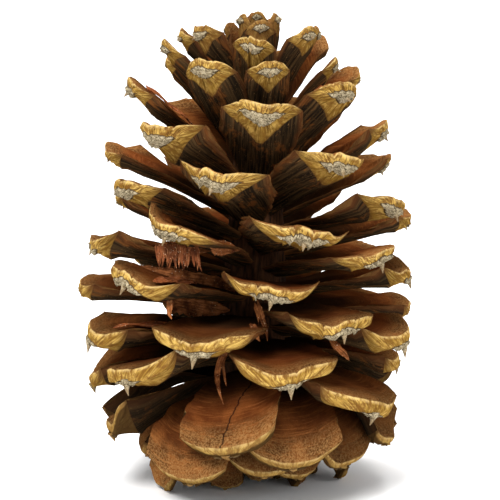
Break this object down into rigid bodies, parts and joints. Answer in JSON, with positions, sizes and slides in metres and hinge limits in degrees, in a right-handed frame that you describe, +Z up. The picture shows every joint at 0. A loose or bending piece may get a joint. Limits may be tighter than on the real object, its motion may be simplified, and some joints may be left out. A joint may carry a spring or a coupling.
{
  "type": "longleaf pine cone",
  "caption": "Open, dry longleaf pine cone standing on its drooping basal scales, with fanned woody scales, keeled tips, small prickles and papery seed wings still lodged between them.",
  "frame": {"origin": "on the surface it stands on, under the middle of its bounding box", "axes": "+Z up along the cone's axis towards its tip, -Y towards the viewer of the front, +X to the right"},
  "size_m": [0.1076, 0.1056, 0.1497],
  "materials": {
    "cone_wood": "dry matt wood: red-brown inner faces, golden tan tips with fine wrinkles, pale grey umbos, nearly black undersides",
    "seed_wing": "papery, red-brown, with fine lengthwise veins and specks"
  },
  "bodies": {
    "root": {"cone": "cone_wood", "seed_wing_lower_left": "seed_wing", "seed_wing_middle_left": "seed_wing", "seed_wing_upper_left": "seed_wing", "seed_wing_upper_right": "seed_wing"}
  },
  "joints": []
}
